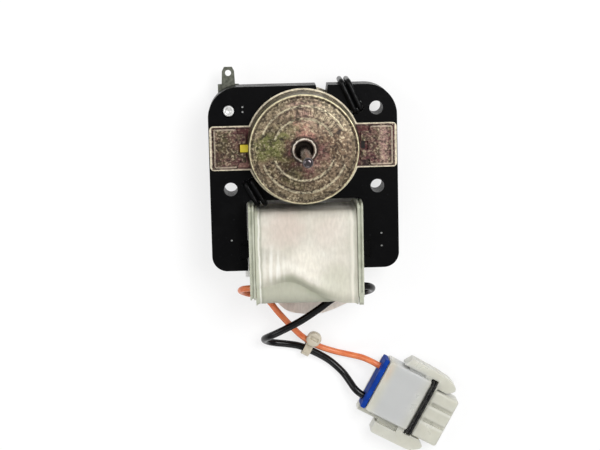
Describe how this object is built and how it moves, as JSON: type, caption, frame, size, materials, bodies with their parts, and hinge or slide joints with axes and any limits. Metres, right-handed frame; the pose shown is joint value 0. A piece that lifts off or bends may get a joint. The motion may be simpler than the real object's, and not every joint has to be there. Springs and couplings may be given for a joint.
{
  "type": "evaporator fan motor",
  "caption": "Shaded-pole fan motor: C-shaped lamination stack, taped coil on a bobbin, drawn bearing caps, long plain shaft, ground spade, and leads to a latching plug.",
  "frame": {"origin": "on the shaft's axis at the outer face of the rear bearing cap", "axes": "+Z along the shaft towards its free end, +Y from the coil towards the ground spade, +X to the right seen from the shaft's end"},
  "size_m": [0.0813, 0.1318, 0.068],
  "materials": {
    "lacquer": "satin",
    "plated": "satin",
    "bobbin": "satin",
    "copper": "satin",
    "tape": "matte",
    "steel": "polished",
    "aluminium": "satin",
    "bronze": "matte",
    "felt": "matte",
    "retainer": "satin",
    "nylon": "satin",
    "tin": "satin",
    "lead_orange": "satin",
    "lead_black": "satin",
    "housing": "satin",
    "seal": "matte",
    "rubber": "matte"
  },
  "bodies": {
    "stator": {"stator_core": "lacquer", "coil_bar": "lacquer", "bobbin": "bobbin", "winding": "copper", "coil_tape": "tape", "shading_ring_upper_a": "copper", "shading_ring_upper_b": "copper", "shading_ring_lower_a": "copper", "shading_ring_lower_b": "copper", "front_bracket": "plated", "rear_bracket": "plated", "front_bearing_cap": "plated", "rear_bearing_cap": "plated", "front_retainer": "retainer", "rear_retainer": "retainer", "front_bearing": "bronze", "rear_bearing": "bronze", "front_felt": "felt", "rear_felt": "felt", "ground_terminal": "tin", "ground_rivet": "tin", "lead_orange": "lead_orange", "lead_black": "lead_black", "cable_tie": "nylon", "connector_housing": "housing", "wire_seal": "seal", "gasket": "rubber", "contact_orange": "tin", "contact_black": "tin"},
    "rotor": {"rotor_core": "steel", "rotor_cage": "aluminium", "shaft": "steel", "front_spacer": "nylon", "rear_spacer": "nylon"}
  },
  "joints": [
    {"name": "rotor_spin", "type": "hinge", "parent": "stator", "child": "rotor", "pos_m": [0, 0, 0.015], "axis": [0, 0, 1], "continuous": true}
  ]
}
